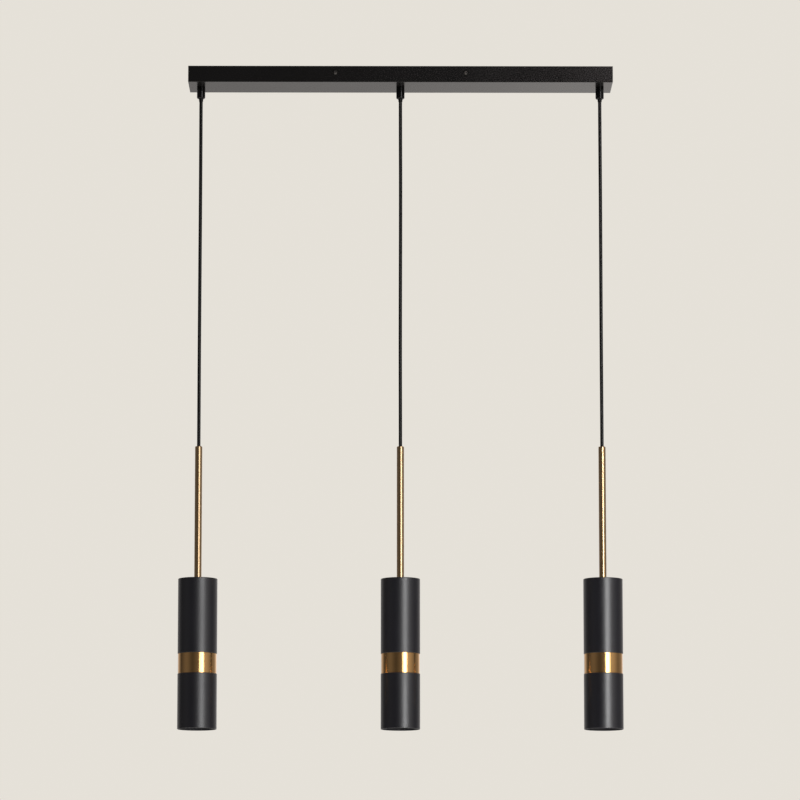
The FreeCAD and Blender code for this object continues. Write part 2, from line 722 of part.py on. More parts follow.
# ---------------------------------------------------------------------------
# Cores from the three cords to the terminals, and the earth bond
# ---------------------------------------------------------------------------
core = S.core_rad.number
tail_top = TAIL_TOP.number
pitch = PITCH.number
pole_z = block_low.number + 5.0
poles = {"brown": 37.0, "blue": 47.0, "earth": 57.0}
LEFT_LANES = {"brown": -19.5, "blue": -22.5, "earth": -25.5}
RIGHT_LANES = {"earth": -19.5, "blue": -22.5, "brown": -25.5}
MIDDLE_LANES = {"brown": -17.0, "blue": -20.0, "earth": -23.0}
START = {"brown": 1.9, "blue": 0.0, "earth": -1.9}
cores = {}
for colour in ("brown", "blue", "earth"):
    px = poles[colour]
    lane, oy = LEFT_LANES[colour], START[colour]
    left = [
        (-pitch, oy, tail_top), (-pitch, oy, -6.6), (-pitch + 13, oy * 1.05 - 0.6, -3.4),
        (-pitch + 32, (oy * 1.2) - 5.5, -8.0), (-pitch + 55, lane + 5.5, -19.5), (-pitch + 84, lane, -22.5),
        (-pitch + 150, lane + 0.7, -22.4), (-pitch + 220, lane - 0.3, -22.6), (-pitch + 290, lane + 0.4, -22.4),
        (px - 16, lane, -22.5), (px - 1.0, lane + 0.2, -22.5), (px - 1.0, max(-18.6, lane + 5.6), -22.0),
        (px - 1.0, -13.4, pole_z - 0.6), (px - 1.0, -6.8, pole_z - 0.6),
    ]
    lane, oy = RIGHT_LANES[colour], {"earth": 1.9, "blue": 0.0, "brown": -1.9}[colour]
    right = [
        (pitch, oy, tail_top), (pitch, oy, -6.6), (pitch - 13, oy * 1.05 - 0.6, -3.4),
        (pitch - 32, (oy * 1.2) - 5.5, -8.0), (pitch - 55, lane + 5.5, -16.5), (pitch - 84, lane, -19.5),
        (pitch - 150, lane - 0.5, -19.3), (pitch - 215, lane + 0.4, -19.6), (px + 16, lane, -19.5),
        (px + 1.0, lane + 0.2, -19.5), (px + 1.0, -13.4, pole_z - 0.6), (px + 1.0, -6.8, pole_z - 0.6),
    ]
    lane = MIDDLE_LANES[colour]
    ox = START[colour]
    middle = [
        (ox, 0, tail_top), (ox, 0, -8.0), (ox * 1.15, -8.5, -5.6), (ox * 1.3 + 0.6, lane + 1.5, -8.2),
        (ox + 9.0, lane - 0.6, -8.7), (px - 12, lane, -8.6), (px, lane + 0.2, -8.6),
        (px, -12.8, pole_z + 1.1), (px, -6.8, pole_z + 1.1),
    ]
    solids = [
        tube_along("core_%s_%s" % (colour, side), points, core)
        for side, points in (("left", left), ("middle", middle), ("right", right))
    ]
    cores[colour] = solids

# the bond from the earth pole's far side back to the stud
stud_x = S.earth_pos.number
ring_z = -S.bracket_thk.number - 0.85
tongue = Part.makeCylinder(4.2, 0.7, V(stud_x, 0, ring_z), V(0, 0, 1)).cut(
    Part.makeCylinder(2.15, 2.0, V(stud_x, 0, ring_z - 0.5), V(0, 0, 1))
)
strip = Part.makeBox(3.0, 5.0, 0.7, V(stud_x - 1.5, 3.4, ring_z))
strip = strip.cut(Part.makeCylinder(2.15, 2.0, V(stud_x, 0, ring_z - 0.5), V(0, 0, 1)))
barrel = Part.makeCylinder(1.3, 5.0, V(stud_x, 7.6, ring_z - 0.6), V(0, 1, 0))
bond = tube_along(
    "core_earth_bond",
    [
        (stud_x, 10.0, ring_z - 0.6), (stud_x, 17.0, ring_z - 1.2), (stud_x + 8, 22.5, -7.5),
        (stud_x + 26, 23.0, -12.0), (57.0, 20.5, pole_z), (57.0, 13.5, pole_z), (57.0, 6.8, pole_z),
    ],
    core,
)
lug = tongue.fuse(strip).fuse(barrel).fuse(bond).removeSplitter()
cores["earth"].append(lug)
for colour, solids in cores.items():
    obj = doc.addObject("Part::Feature", "Cores_" + colour)
    obj.Shape = Part.makeCompound(solids)
    keep("leads_" + colour, obj)

# ---------------------------------------------------------------------------
# One pendant
# ---------------------------------------------------------------------------


def arc_slot(mid, half, start, stop, low_z, high_z):
    """A curved slot with round ends, about the Z axis."""
    a0, a1 = math.radians(start), math.radians(stop)

    def at(radius, angle):
        return V(radius * math.cos(angle), radius * math.sin(angle), low_z)

    am = (a0 + a1) / 2
    c0, c1 = at(mid, a0), at(mid, a1)
    t0 = V(math.sin(a0), -math.cos(a0), 0)
    t1 = V(-math.sin(a1), math.cos(a1), 0)
    edges = [
        Part.Arc(at(mid + half, a0), at(mid + half, am), at(mid + half, a1)).toShape(),
        Part.Arc(at(mid + half, a1), c1 + t1 * half, at(mid - half, a1)).toShape(),
        Part.Arc(at(mid - half, a1), at(mid - half, am), at(mid - half, a0)).toShape(),
        Part.Arc(at(mid - half, a0), c0 + t0 * half, at(mid + half, a0)).toShape(),
    ]
    return Part.Face(Part.Wire(edges)).extrude(V(0, 0, high_z - low_z))


def pendant(side, x):
    # soft boot: ball seat in the grip, nose below it
    ball, nose = S.boot_ball_rad, S.boot_nose_rad
    centre = S.boot_nose_len
    shoulder = centre - root_of(ball * ball - nose * nose)
    top = centre + root_of(ball * ball - S.boot_core_rad * S.boot_core_rad)
    pocket_top = S.boot_pocket_pos + root_of(
        S.boot_pocket_rad * S.boot_pocket_rad - S.boot_core_rad * S.boot_core_rad
    )
    boot = turned(
        None,
        [
            (S.boot_lip_rad, 0),
            (nose - 0.1, 0),
            (nose, 0.4),
            (nose, shoulder),
            (ball, centre, ball, -1),
            (S.boot_core_rad, top, ball, -1),
            (S.boot_core_rad, pocket_top),
            (S.boot_pocket_rad, S.boot_pocket_pos, S.boot_pocket_rad, +1),
        ],
        "boot_" + side,
    )
    place(boot, x, 0, BOOT_BOTTOM)
    keep("grip_boot_" + side, boot)

    # cord: one straight hanging run with a round upper end in the boot
    cord = turned(
        None,
        [
            (0, 0), (S.cord_rad, 0), (S.cord_rad, S.cord_len),
            (0, S.cord_len + S.cord_rad, S.cord_rad, -1),
        ],
        "cord_" + side,
    )
    place(cord, x, 0, CORD_BOTTOM)
    keep("cord_" + side, cord)
    ARC_RADII["cord_" + side] = "straight, no arcs, length %.1f" % (S.cord_len + S.cord_rad).number

    # crimp stop on the cord's lower end
    ring = S.cord_rad + 0.01
    stop = turned(
        None,
        [
            (ring, 0), (S.stop_rad - 0.5, 0), (S.stop_rad, 0.5), (S.stop_rad, S.stop_len - 0.5),
            (S.stop_rad - 0.5, S.stop_len), (ring, S.stop_len),
        ],
        "stop_" + side,
    )
    place(stop, x, 0, STOP_BOTTOM)
    keep("cord_stop_" + side, stop)

    # bushing in the rod's top
    bushing = turned(
        None,
        [
            (S.bushing_bore_rad, 0), (S.bushing_rad - 0.3, 0), (S.bushing_rad, 0.3),
            (S.bushing_rad, S.bushing_len - 0.3), (S.bushing_rad - 0.3, S.bushing_len),
            (S.bushing_bore_rad + 0.5, S.bushing_len), (S.bushing_bore_rad, S.bushing_len - 0.5),
        ],
        "bushing_" + side,
    )
    place(bushing, x, 0, BUSHING_BOTTOM)
    keep("rod_bushing_" + side, bushing)

    # rod: brass tube with a chamfered top and a threaded foot
    long = S.spigot_len + S.rod_len
    rod = turned(
        None,
        [
            (S.spigot_bore_rad, 0), (S.spigot_rad - 0.5, 0), (S.spigot_rad, 0.5),
            (S.spigot_rad, S.spigot_len), (S.rod_rad, S.spigot_len), (S.rod_rad, long - S.rod_edge),
            (S.rod_rad - S.rod_edge * 0.8, long), (S.rod_bore_rad, long),
            (S.rod_bore_rad, S.spigot_len + 6), (S.spigot_bore_rad, S.spigot_len + 6),
        ],
        "rod_" + side,
    )
    place(rod, x, 0, SPIGOT_BOTTOM)
    keep("rod_" + side, rod)

    nut_ = hex_nut("rod_nut_" + side, S.nut_flats, S.spigot_rad + 0.1, S.nut_thk + 1, x, 0,
                   ROD_FOOT - S.shade_top_thk - S.nut_thk - 1)
    keep("rod_nut_" + side, nut_)

    # shade, upper half: tube with a closed top
    inner = S.shade_rad - S.shade_wall
    tall = S.upper_len
    upper = turned(
        None,
        [
            (inner + 0.2, 0), (S.shade_rad - 0.25, 0), (S.shade_rad, 0.25),
            (S.shade_rad, tall - S.shade_edge),
            (S.shade_rad - S.shade_edge, tall, S.shade_edge, -1),
            (S.spigot_rad + 0.1, tall), (S.spigot_rad + 0.1, tall - S.shade_top_thk),
            (inner, tall - S.shade_top_thk), (inner, 0.2),
        ],
        "upper_" + side,
    )
    place(upper, x, 0, UPPER_BOTTOM)
    keep("shade_upper_" + side, upper)

    # brass band: shows between the halves, spigots inside both, ledge for the lampholder
    low_s = S.band_spigot_len
    band = turned(
        None,
        [
            (S.band_bore_rad, 0), (S.band_spigot_rad, 0), (S.band_spigot_rad, low_s),
            (S.band_rad - 0.15, low_s), (S.band_rad, low_s + 0.15),
            (S.band_rad, low_s + S.band_len - 0.15), (S.band_rad - 0.15, low_s + S.band_len),
            (S.band_spigot_rad, low_s + S.band_len), (S.band_spigot_rad, 2 * low_s + S.band_len),
            (S.band_bore_rad, 2 * low_s + S.band_len),
            (S.band_bore_rad, S.band_ledge_pos + S.band_ledge_thk),
            (S.band_ledge_rad, S.band_ledge_pos + S.band_ledge_thk),
            (S.band_ledge_rad, S.band_ledge_pos), (S.band_bore_rad, S.band_ledge_pos),
        ],
        "band_" + side,
    )
    place(band, x, 0, BAND_LOW)
    keep("brass_band_" + side, band)

    # shade, lower half: tube, open below
    lower = turned(
        None,
        [
            (inner + 0.25, 0), (S.shade_rad - S.shade_rim, 0), (S.shade_rad, S.shade_rim, S.shade_rim, -1),
            (S.shade_rad, S.lower_len - 0.25), (S.shade_rad - 0.25, S.lower_len),
            (inner + 0.2, S.lower_len), (inner, S.lower_len - 0.2), (inner, 0.25),
        ],
        "lower_" + side,
    )
    place(lower, x, 0, LOWER_BOTTOM)
    keep("shade_lower_" + side, lower)

    # lampholder plate on the band's ledge
    body = doc.addObject("PartDesign::Body", "Body_plate_" + side)
    sk = new_sketch(body, "XY_Plane", "Plate_plan_" + side)
    circle(sk, 0, 0, S.plate_rad)
    disc = pad(body, "Plate_disc_" + side, sk, S.plate_thk)
    doc.recompute()
    before = disc.Shape.Volume
    sk = new_sketch(body, "XY_Plane", "Plate_holes_plan_" + side)
    circle(sk, 0, S.holder_lead_pos, 1.6)
    circle(sk, 0, -S.holder_lead_pos, 1.6)
    circle(sk, S.holder_screw_pos, 0, 1.6)
    circle(sk, -S.holder_screw_pos, 0, 1.6)
    for sx in (-1, 1):
        for sy in (-1, 1):
            circle(sk, sx * 14.5, sy * 14.5, 2.5)
    holes = pocket(body, "Plate_holes_" + side, sk, reverse=True)
    check_volume(holes, before, 140, 190)
    place(body, x, 0, LEDGE_TOP)
    keep("holder_plate_" + side, body)

    # lampholder: ceramic, with two key slots for the lamp's pins
    shell = turned(
        None,
        [
            (0, 0), (S.holder_rad - 0.8, 0), (S.holder_rad, 0.8), (S.holder_rad, S.holder_len - 6.0),
            (S.holder_rad - 1.5, S.holder_len - 5.0), (S.holder_rad - 1.5, S.holder_len), (0, S.holder_len),
        ],
        "holder_shell_" + side,
    )
    doc.recompute()
    solid = shell.Shape.copy()
    face, cavity = S.holder_face_thk.number, S.holder_cavity_len.number
    mid = S.pin_circle_rad.number
    neck, head = S.pin_neck_rad.number, S.pin_head_rad.number
    for turn_ in (0.0, 180.0):
        slot = arc_slot(mid, neck + 0.2, turn_, turn_ + 20.0, -1.0, face + 1.0)
        room_ = arc_slot(mid, head + 0.3, turn_, turn_ + 20.0, face, face + cavity)
        gate = Part.makeCylinder(
            head + 0.3, face + 2.0,
            V(mid * math.cos(math.radians(turn_ + 20.0)), mid * math.sin(math.radians(turn_ + 20.0)), -1.0),
        )
        solid = solid.cut(slot).cut(room_).cut(gate)
    tall_h = S.holder_len.number
    for sy in (-1, 1):
        solid = solid.cut(Part.makeCylinder(1.15, 8.0, V(0, sy * S.holder_lead_pos.number, tall_h - 8.0 + 0.01)))
        solid = solid.cut(Part.makeCylinder(1.35, 11.0, V(sy * S.holder_screw_pos.number, 0, tall_h - 11.0 + 0.01)))
    holder = doc.addObject("Part::Feature", "Lampholder_" + side)
    holder.Shape = solid
    holder.Placement = FreeCAD.Placement(V(x.number, 0, HOLDER_BOTTOM.number), FreeCAD.Rotation())
    place(holder, x, 0, HOLDER_BOTTOM)
    keep("lampholder_" + side, holder)

    screws = []
    for j, sx in enumerate((-1, 1)):
        screw_ = turned(
            None,
            [
                (0, 0), (0.9, 0), (1.25, 0.4), (1.25, 11.5), (2.7, 11.5), (2.7, 12.6), (2.1, 13.4), (0, 13.4),
            ],
            "holder_screw_%s_%d" % (side, j),
        )
        place(screw_, x + sx * S.holder_screw_pos, 0, LEDGE_TOP + S.plate_thk - 11.5 + 0.02)
        screws.append(screw_)
    group("holder_screws_" + side, screws)

    # two leads from the lampholder up through the rod to the cord's end
    wires = []
    gate_z = LEDGE_TOP.number
    end_z = CORD_BOTTOM.number - 1.0
    for j, sy in enumerate((-1, 1)):
        o = S.holder_lead_pos.number
        wires.append(
            tube_along(
                "holder_lead_%s_%d" % (side, j),
                [
                    (0, sy * o, gate_z - 7.5), (0, sy * o, gate_z + 12), (sy * 1.5, sy * (o + 1.5), gate_z + 34),
                    (sy * 2.5, sy * 5.0, gate_z + 62), (0.3 * sy, sy * 2.2, gate_z + 92),
                    (0, sy * 1.35, gate_z + 118), (0.25 * sy, sy * 1.35, gate_z + 200), (0, sy * 1.35, end_z),
                ],
                core,
            )
        )
    leads = doc.addObject("Part::Feature", "Holder_leads_" + side)
    leads.Shape = Part.makeCompound(wires)
    leads.Placement = FreeCAD.Placement(V(x.number, 0, 0), FreeCAD.Rotation())
    place(leads, x, 0, 0)
    keep("holder_leads_" + side, leads)

    # lamp housing with its two pins, and the front lens
    base = S.lamp_len
    housing = turned(
        None,
        [
            (0, 3.2), (S.lens_rad + 0.2, 3.2), (S.lens_rad + 0.2, 0), (S.lamp_rad - 0.5, 0),
            (S.lamp_rad, 0.5), (S.lamp_rad, 5.5), (S.lamp_rad - 1.2, 7.5),
            (S.lamp_base_rad + 3.0, 34.0), (S.lamp_base_rad + 0.4, 37.5), (S.lamp_base_rad, 38.2),
            (S.lamp_base_rad, base - 0.6), (S.lamp_base_rad - 0.6, base), (0, base),
        ],
        "lamp_housing_" + side,
    )
    pieces = [housing]
    for j, sx in enumerate((-1, 1)):
        pin = turned(
            None,
            [
                (0, -1.0), (S.pin_neck_rad, -1.0), (S.pin_neck_rad, S.pin_neck_len),
                (S.pin_head_rad, S.pin_neck_len), (S.pin_head_rad, S.pin_neck_len + S.pin_head_len - 0.4),
                (S.pin_head_rad - 0.4, S.pin_neck_len + S.pin_head_len), (0, S.pin_neck_len + S.pin_head_len),
            ],
            "lamp_pin_%s_%d" % (side, j),
        )
        place(pin, sx * S.pin_circle_rad, 0, base)
        pieces.append(pin)
    lamp = fuse("lamp_fused_" + side, pieces)
    place(lamp, x, 0, LAMP_BOTTOM)
    keep("lamp_body_" + side, lamp)

    dome, rise = S.lens_dome_rad, S.lens_dome_hgt
    curve = (dome * dome + rise * rise) / (rise * 2)
    lens = turned(
        None,
        [
            (0, 0), (dome, rise, curve, -1), (dome + 0.3, rise + S.lens_groove),
            (dome + 1.2, rise + S.lens_groove), (dome + 1.5, rise - 0.3), (S.lens_rad - 0.6, rise - 0.3),
            (S.lens_rad, rise + 0.3), (S.lens_rad, 0.8 + S.lens_thk), (0, 0.8 + S.lens_thk),
        ],
        "lens_" + side,
    )
    place(lens, x, 0, LAMP_BOTTOM - 0.3)
    keep("lamp_lens_" + side, lens)


for side, x in SIDES:
    pendant(side, x)

# ---------------------------------------------------------------------------
# Checks, then one file per piece
# ---------------------------------------------------------------------------
doc.recompute()
bad = [
    "%s (%s): %s" % (obj.Name, obj.Label, ", ".join(obj.State))
    for obj in doc.Objects
    if any(word in ("Invalid", "Error") for word in obj.State)
]
if bad:
    raise RuntimeError("objects that failed: " + "; ".join(bad))
if len(NODES) > 60:
    raise RuntimeError("too many nodes: %d" % len(NODES))

os.makedirs("parts", exist_ok=True)
shapes = {}
for node, obj in NODES.items():
    shape = obj.Shape
    if shape.isNull() or not shape.isValid() or not shape.Solids:
        raise RuntimeError(node + " has no valid solid")
    shapes[node] = shape
for node, shape in shapes.items():
    shape.exportStep("parts/%s.step" % node)

for name, radii in sorted(ARC_RADII.items()):
    print("arc radii", name, radii)
total = None
for node in sorted(shapes):
    box_ = shapes[node].BoundBox
    total = box_ if total is None else total.united(box_)
    print(
        "%-24s solids %d volume %10.1f  x %.2f..%.2f  y %.2f..%.2f  z %.2f..%.2f"
        % (node, len(shapes[node].Solids), shapes[node].Volume, box_.XMin, box_.XMax, box_.YMin, box_.YMax,
           box_.ZMin, box_.ZMax)
    )
print("nodes", len(shapes), "size", round(total.XLength, 2), round(total.YLength, 2), round(total.ZLength, 2))
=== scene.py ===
import json
import math

import bmesh
import bpy
import numpy as np
from mathutils import Matrix, Vector


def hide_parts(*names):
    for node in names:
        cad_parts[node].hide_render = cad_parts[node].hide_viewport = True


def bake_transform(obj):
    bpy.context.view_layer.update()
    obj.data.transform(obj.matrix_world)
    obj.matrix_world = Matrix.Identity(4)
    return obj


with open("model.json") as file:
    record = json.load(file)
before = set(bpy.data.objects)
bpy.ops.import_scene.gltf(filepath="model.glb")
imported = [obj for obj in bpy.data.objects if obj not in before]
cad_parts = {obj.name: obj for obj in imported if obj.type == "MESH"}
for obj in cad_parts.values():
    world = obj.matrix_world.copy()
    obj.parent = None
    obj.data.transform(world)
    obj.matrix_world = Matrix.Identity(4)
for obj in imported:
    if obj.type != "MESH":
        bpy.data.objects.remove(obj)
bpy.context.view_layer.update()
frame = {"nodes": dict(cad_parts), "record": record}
nodes = frame["nodes"]

SIDES = {"left": -0.33, "middle": 0.0, "right": 0.33}
CORD_DIAMETER = 0.0057
PALE = (0.787, 0.753, 0.690, 1.0)

# ---------------------------------------------------------------- camera

camera_data = bpy.data.cameras.new("camera")
camera_data.sensor_fit = "HORIZONTAL"
camera_data.sensor_width = 36.0
camera_data.lens = 194.411
camera_data.shift_y = 0.04
camera_data.clip_start = 0.1
camera_data.clip_end = 200.0
camera = bpy.data.objects.new("camera", camera_data)
camera.location = (-0.04221, -7.0, -1.624)
camera.rotation_euler = (math.radians(90 + 8.2916), 0.0, math.radians(-0.3398))
bpy.context.scene.collection.objects.link(camera)
bpy.context.scene.camera = camera


# ---------------------------------------------------------------- node helpers


class Tree:
    """A material's nodes, with short names for the ones that are used here."""

    def __init__(self, name):
        self.material = bpy.data.materials.new(name)
        self.material.use_nodes = True
        self.nodes = self.material.node_tree.nodes
        self.links = self.material.node_tree.links
        self.nodes.clear()
        out = self.nodes.new("ShaderNodeOutputMaterial")
        self.shader = self.nodes.new("ShaderNodeBsdfPrincipled")
        self.links.new(self.shader.outputs[0], out.inputs[0])
        self.place = self.nodes.new("ShaderNodeTexCoord").outputs["Object"]

    def plug(self, socket, value):
        if isinstance(value, bpy.types.NodeSocket):
            self.links.new(value, socket)
        else:
            socket.default_value = value

    def set(self, **values):
        for name, value in values.items():
            self.plug(self.shader.inputs[name.replace("_", " ")], value)

    def stretched(self, x, y, z, turn=0.0):
        node = self.nodes.new("ShaderNodeMapping")
        self.links.new(self.place, node.inputs["Vector"])
        node.inputs["Scale"].default_value = (x, y, z)
        node.inputs["Rotation"].default_value = (0.0, 0.0, turn)
        return node.outputs[0]

    def noise(self, scale, detail=2.0, rough=0.5, where=None, twist=0.0):
        node = self.nodes.new("ShaderNodeTexNoise")
        self.plug(node.inputs["Vector"], where or self.place)
        node.inputs["Scale"].default_value = scale
        node.inputs["Detail"].default_value = detail
        node.inputs["Roughness"].default_value = rough
        node.inputs["Distortion"].default_value = twist
        return node.outputs["Fac"]

    def cells(self, scale, where=None):
        node = self.nodes.new("ShaderNodeTexVoronoi")
        self.plug(node.inputs["Vector"], where or self.place)
        node.inputs["Scale"].default_value = scale
        return node.outputs["Distance"]

    def fit(self, value, low, high, to_low, to_high):
        node = self.nodes.new("ShaderNodeMapRange")
        self.plug(node.inputs["Value"], value)
        for name, number in (
            ("From Min", low), ("From Max", high), ("To Min", to_low), ("To Max", to_high),
        ):
            node.inputs[name].default_value = number
        return node.outputs[0]

    def math(self, operation, a, b=0.0):
        node = self.nodes.new("ShaderNodeMath")
        node.operation = operation
        self.plug(node.inputs[0], a)
        self.plug(node.inputs[1], b)
        return node.outputs[0]

    def mix(self, factor, a, b):
        node = self.nodes.new("ShaderNodeMix")
        node.data_type = "RGBA"
        self.plug(node.inputs["Factor"], factor)
        self.plug(node.inputs[6], a)
        self.plug(node.inputs[7], b)
        return node.outputs[2]

    def inside_box(self):
        """1 on the inner faces of the canopy, 0 on its outer ones, from the place in the piece's own box."""
        whole = self.nodes.new("ShaderNodeTexCoord").outputs["Generated"]
        apart = self.nodes.new("ShaderNodeSeparateXYZ")
        self.links.new(whole, apart.inputs[0])
        x, y, z = (
            self.math("LESS_THAN", self.math("ABSOLUTE", self.math("SUBTRACT", apart.outputs[0], 0.5)), 0.4992),
            self.math("LESS_THAN", self.math("ABSOLUTE", self.math("SUBTRACT", apart.outputs[1], 0.5)), 0.49),
            self.math("GREATER_THAN", apart.outputs[2], 0.03),
        )
        return self.math("MULTIPLY", self.math("MULTIPLY", x, y), z)

    def inside_tube(self):
        """1 on the inner faces of a shade's half, 0 on its outer ones, from the place in the piece's own box."""
        whole = self.nodes.new("ShaderNodeTexCoord").outputs["Generated"]
        apart = self.nodes.new("ShaderNodeSeparateXYZ")
        self.links.new(whole, apart.inputs[0])
        x, y = (self.math("SUBTRACT", apart.outputs[i], 0.5) for i in (0, 1))
        away = self.math("SQRT", self.math("ADD", self.math("MULTIPLY", x, x), self.math("MULTIPLY", y, y)))
        ends = self.math("MULTIPLY", self.math("GREATER_THAN", apart.outputs[2], 0.004), self.math("LESS_THAN", apart.outputs[2], 0.992))
        return self.math("MULTIPLY", self.math("LESS_THAN", away, 0.487), ends)

    def bump(self, height, distance, strength=1.0, under=None):
        node = self.nodes.new("ShaderNodeBump")
        self.plug(node.inputs["Height"], height)
        node.inputs["Distance"].default_value = distance
        node.inputs["Strength"].default_value = strength
        if under is not None:
            self.links.new(under, node.inputs["Normal"])
        return node.outputs[0]


def rgb(r, g, b):
    return (r, g, b, 1.0)


def shaded(color, share):
    return (color[0] * share, color[1] * share, color[2] * share, 1.0)


# ---------------------------------------------------------------- materials


def satin_paint(name, color, roughness, specular, ior=1.5, inner=None, dull_inside=None):
    """Powder coat: a fine orange peel over a finer grain, and a slow change of tone and gloss.

    inner is the colour of a thinner, greyer coat on the inside of an open box,
    dull_inside the roughness of the coat on the inside of a tube.
    """
    t = Tree(name)
    slow = t.noise(9.0, 3.0, 0.55)
    peel = t.noise(650.0, 1.5, 0.45)
    grain = t.noise(2600.0, 2.0, 0.6)
    tone = t.mix(t.fit(slow, 0.3, 0.7, 0.0, 1.0), shaded(color, 0.9), shaded(color, 1.12))
    if inner is not None:
        mist = t.noise(30.0, 4.0, 0.6)
        tone = t.mix(
            t.inside_box(), tone, t.mix(t.fit(mist, 0.35, 0.65, 0.0, 1.0), shaded(inner, 0.65), shaded(inner, 1.1))
        )
    gloss = t.fit(t.math("ADD", slow, t.math("MULTIPLY", grain, 0.5)), 0.45, 1.05, roughness - 0.03, roughness + 0.03)
    if dull_inside is not None:
        gloss = t.math("ADD", gloss, t.math("MULTIPLY", t.inside_tube(), dull_inside - roughness))
    t.set(
        Base_Color=tone,
        Roughness=gloss,
        Normal=t.bump(grain, 0.0000025, 1.0, t.bump(peel, 0.000008)),
        Metallic=0.0,
    )
    t.shader.inputs["IOR"].default_value = ior
    t.shader.inputs["Specular IOR Level"].default_value = specular
    return t.material


def brass(name, color, dark, roughness, along, coat, coat_ior=1.5, coat_roughness=0.12, depth=0.0000005):
    """Turned or drawn brass: fine tool lines, a slow change of tone, and a thin lacquer."""
    t = Tree(name)
    if along == "round":  # lines run round the tube
        lines = t.noise(1.0, 3.0, 0.6, t.stretched(40.0, 40.0, 6500.0))
        wide = t.noise(1.0, 2.0, 0.5, t.stretched(15.0, 15.0, 900.0))
    else:  # lines run along it
        lines = t.noise(1.0, 3.0, 0.6, t.stretched(5200.0, 5200.0, 14.0))
        wide = t.noise(1.0, 2.0, 0.5, t.stretched(1400.0, 1400.0, 5.0))
    slow = t.noise(26.0, 3.0, 0.55)
    tone = t.fit(t.math("ADD", slow, t.math("MULTIPLY", wide, 0.45)), 0.45, 1.0, 0.0, 1.0)
    t.set(
        Base_Color=t.mix(tone, dark, color),
        Roughness=t.fit(t.math("ADD", lines, wide), 0.7, 1.3, roughness - 0.02, roughness + 0.03),
        Normal=t.bump(lines, depth, 1.0, t.bump(wide, depth * 0.6)),
        Metallic=1.0,
    )
    t.shader.inputs["Coat Weight"].default_value = coat
    t.shader.inputs["Coat Roughness"].default_value = coat_roughness
    t.shader.inputs["Coat IOR"].default_value = coat_ior
    return t.material


def moulded(name, color, roughness, specular=0.5, coat=0.0, peel_height=0.000006):
    """Moulded plastic or rubber: a faint flow pattern and a fine texture."""
    t = Tree(name)
    flow = t.noise(90.0, 3.0, 0.5, twist=0.6)
    fine = t.noise(1500.0, 2.0, 0.55)
    t.set(
        Base_Color=t.mix(t.fit(flow, 0.3, 0.7, 0.0, 1.0), shaded(color, 0.88), shaded(color, 1.12)),
        Roughness=t.fit(t.math("ADD", flow, t.math("MULTIPLY", fine, 0.5)), 0.5, 1.0, roughness - 0.03, roughness + 0.04),
        Normal=t.bump(fine, peel_height * 0.4, 1.0, t.bump(flow, peel_height)),
        Metallic=0.0,
    )
    t.shader.inputs["Specular IOR Level"].default_value = specular
    t.shader.inputs["Coat Weight"].default_value = coat
    t.shader.inputs["Coat Roughness"].default_value = 0.08
    return t.material


def blackened(name, color, roughness):
    """Blackened steel: a thin, slightly cloudy finish over fine turning marks."""
    t = Tree(name)
    cloud = t.noise(420.0, 3.0, 0.55)
    marks = t.noise(2600.0, 2.0, 0.6)
    t.set(
        Base_Color=t.mix(t.fit(cloud, 0.3, 0.7, 0.0, 1.0), shaded(color, 0.8), shaded(color, 1.2)),
        Roughness=t.fit(t.math("ADD", cloud, marks), 0.7, 1.3, roughness - 0.04, roughness + 0.06),
        Normal=t.bump(marks, 0.0000015),
        Metallic=1.0,
    )
    return t.material


def sheath(name, color, roughness, specular=0.5):
    """Extruded PVC: faint lines along it, and slow swellings."""
    t = Tree(name)
    lines = t.noise(1.0, 2.0, 0.5, t.stretched(1800.0, 1800.0, 25.0))
    fine = t.noise(2200.0, 2.0, 0.6)
    t.set(
        Base_Color=t.mix(t.fit(lines, 0.3, 0.7, 0.0, 1.0), shaded(color, 0.86), shaded(color, 1.14)),
        Roughness=t.fit(t.math("ADD", lines, fine), 0.7, 1.3, roughness - 0.04, roughness + 0.04),
        Normal=t.bump(fine, 0.000001, 1.0, t.bump(lines, 0.000002)),
        Metallic=0.0,
    )
    t.shader.inputs["Specular IOR Level"].default_value = specular
    return t.material


def zinc(name, color, roughness, across):
    """Zinc plating over rolled or turned steel: fine lines, a faint bloom and small stains."""
    t = Tree(name)
    lines = t.noise(1.0, 3.0, 0.65, t.stretched(25.0, across, across))
    bloom = t.noise(55.0, 4.0, 0.55)
    stain = t.noise(16.0, 2.0, 0.5)
    t.set(
        Base_Color=t.mix(
            t.fit(t.math("ADD", t.math("MULTIPLY", lines, 0.5), t.math("ADD", bloom, stain)), 0.95, 1.55, 0.0, 1.0),
            shaded(color, 0.86),
            shaded(color, 1.05),
        ),
        Roughness=t.fit(t.math("ADD", bloom, lines), 0.7, 1.3, roughness - 0.05, roughness + 0.07),
        Normal=t.bump(lines, 0.0000025),
        Metallic=1.0,
    )
    return t.material


def glazed(name, color, roughness):
    """Steatite ceramic under a thin glaze: faint specks, and a soft unevenness."""
    t = Tree(name)
    specks = t.cells(900.0)
    cloud = t.noise(60.0, 3.0, 0.5)
    wave = t.noise(220.0, 1.0, 0.4)
    t.set(
        Base_Color=t.mix(
            t.fit(specks, 0.03, 0.16, 0.0, 1.0),
            shaded(color, 0.8),
            t.mix(cloud, shaded(color, 0.94), shaded(color, 1.03)),
        ),
        Roughness=t.fit(cloud, 0.3, 0.7, roughness - 0.03, roughness + 0.06),
        Normal=t.bump(wave, 0.00002),
        Metallic=0.0,
    )
    return t.material


